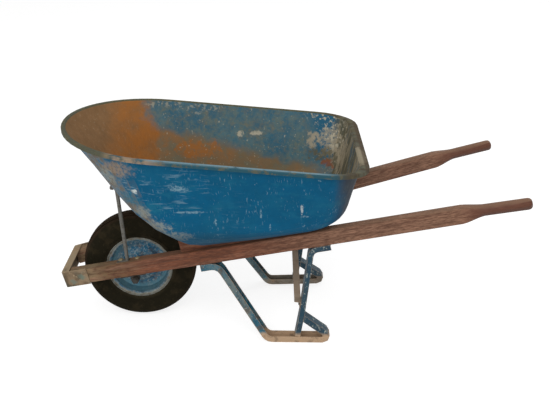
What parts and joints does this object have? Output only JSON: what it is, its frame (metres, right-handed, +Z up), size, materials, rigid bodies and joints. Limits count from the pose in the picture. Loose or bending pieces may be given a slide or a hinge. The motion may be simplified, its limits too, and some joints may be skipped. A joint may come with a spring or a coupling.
{
  "type": "wheelbarrow",
  "caption": "Contractor's wheelbarrow with a deep pressed steel tray, wooden handles, a pneumatic front wheel and bent channel legs.",
  "frame": {"origin": "middle of the barrow's footprint, on the ground", "axes": "+X from the wheel to the grips, +Y to the operator's right, +Z up"},
  "size_m": [1.521, 0.63, 0.7223],
  "materials": {
    "tray_paint": "worn gloss",
    "frame_paint": "worn satin",
    "wood": "weathered",
    "worn_steel": "rusted",
    "grey_steel": "dull zinc",
    "tyre_rubber": "matte",
    "tube_rubber": "matte"
  },
  "bodies": {
    "frame": {"axle": "grey_steel", "axle_bracket_left": "worn_steel", "axle_bracket_right": "worn_steel", "axle_nut_left": "grey_steel", "axle_nut_right": "grey_steel", "axle_spacer_left": "grey_steel", "axle_spacer_right": "grey_steel", "brace_bolt_left": "grey_steel", "brace_bolt_right": "grey_steel", "brace_nut_left": "grey_steel", "brace_nut_right": "grey_steel", "bracket_bolt_front_left": "grey_steel", "bracket_bolt_front_right": "grey_steel", "bracket_bolt_rear_left": "grey_steel", "bracket_bolt_rear_right": "grey_steel", "bracket_nut_front_left": "grey_steel", "bracket_nut_front_right": "grey_steel", "bracket_nut_rear_left": "grey_steel", "bracket_nut_rear_right": "grey_steel", "cross_brace": "worn_steel", "handle_left": "wood", "handle_right": "wood", "leg_left": "frame_paint", "leg_post_left": "frame_paint", "leg_post_right": "frame_paint", "leg_right": "frame_paint", "nose_guard": "worn_steel", "nose_screw_left": "grey_steel", "nose_screw_right": "grey_steel", "strut_bolt_left": "grey_steel", "strut_bolt_right": "grey_steel", "strut_nut_left": "grey_steel", "strut_nut_right": "grey_steel", "tray": "tray_paint", "tray_bolt_front_left": "grey_steel", "tray_bolt_front_right": "grey_steel", "tray_bolt_rear_left": "grey_steel", "tray_bolt_rear_right": "grey_steel", "tray_nut_front_left": "grey_steel", "tray_nut_front_right": "grey_steel", "tray_nut_rear_left": "grey_steel", "tray_nut_rear_right": "grey_steel", "tray_strut_left": "grey_steel", "tray_strut_right": "grey_steel", "wedge_left": "wood", "wedge_right": "wood"},
    "wheel": {"tyre": "tyre_rubber", "inner_tube": "tube_rubber", "valve_stem": "tube_rubber", "rim_half_left": "tray_paint", "rim_half_right": "tray_paint", "hub_tube": "grey_steel", "bearing_left": "grey_steel", "bearing_right": "grey_steel"}
  },
  "joints": [
    {"name": "wheel_spin", "type": "hinge", "parent": "frame", "child": "wheel", "pos_m": [-0.5043, 0, 0.1953], "axis": [0, 1, 0], "continuous": true}
  ]
}
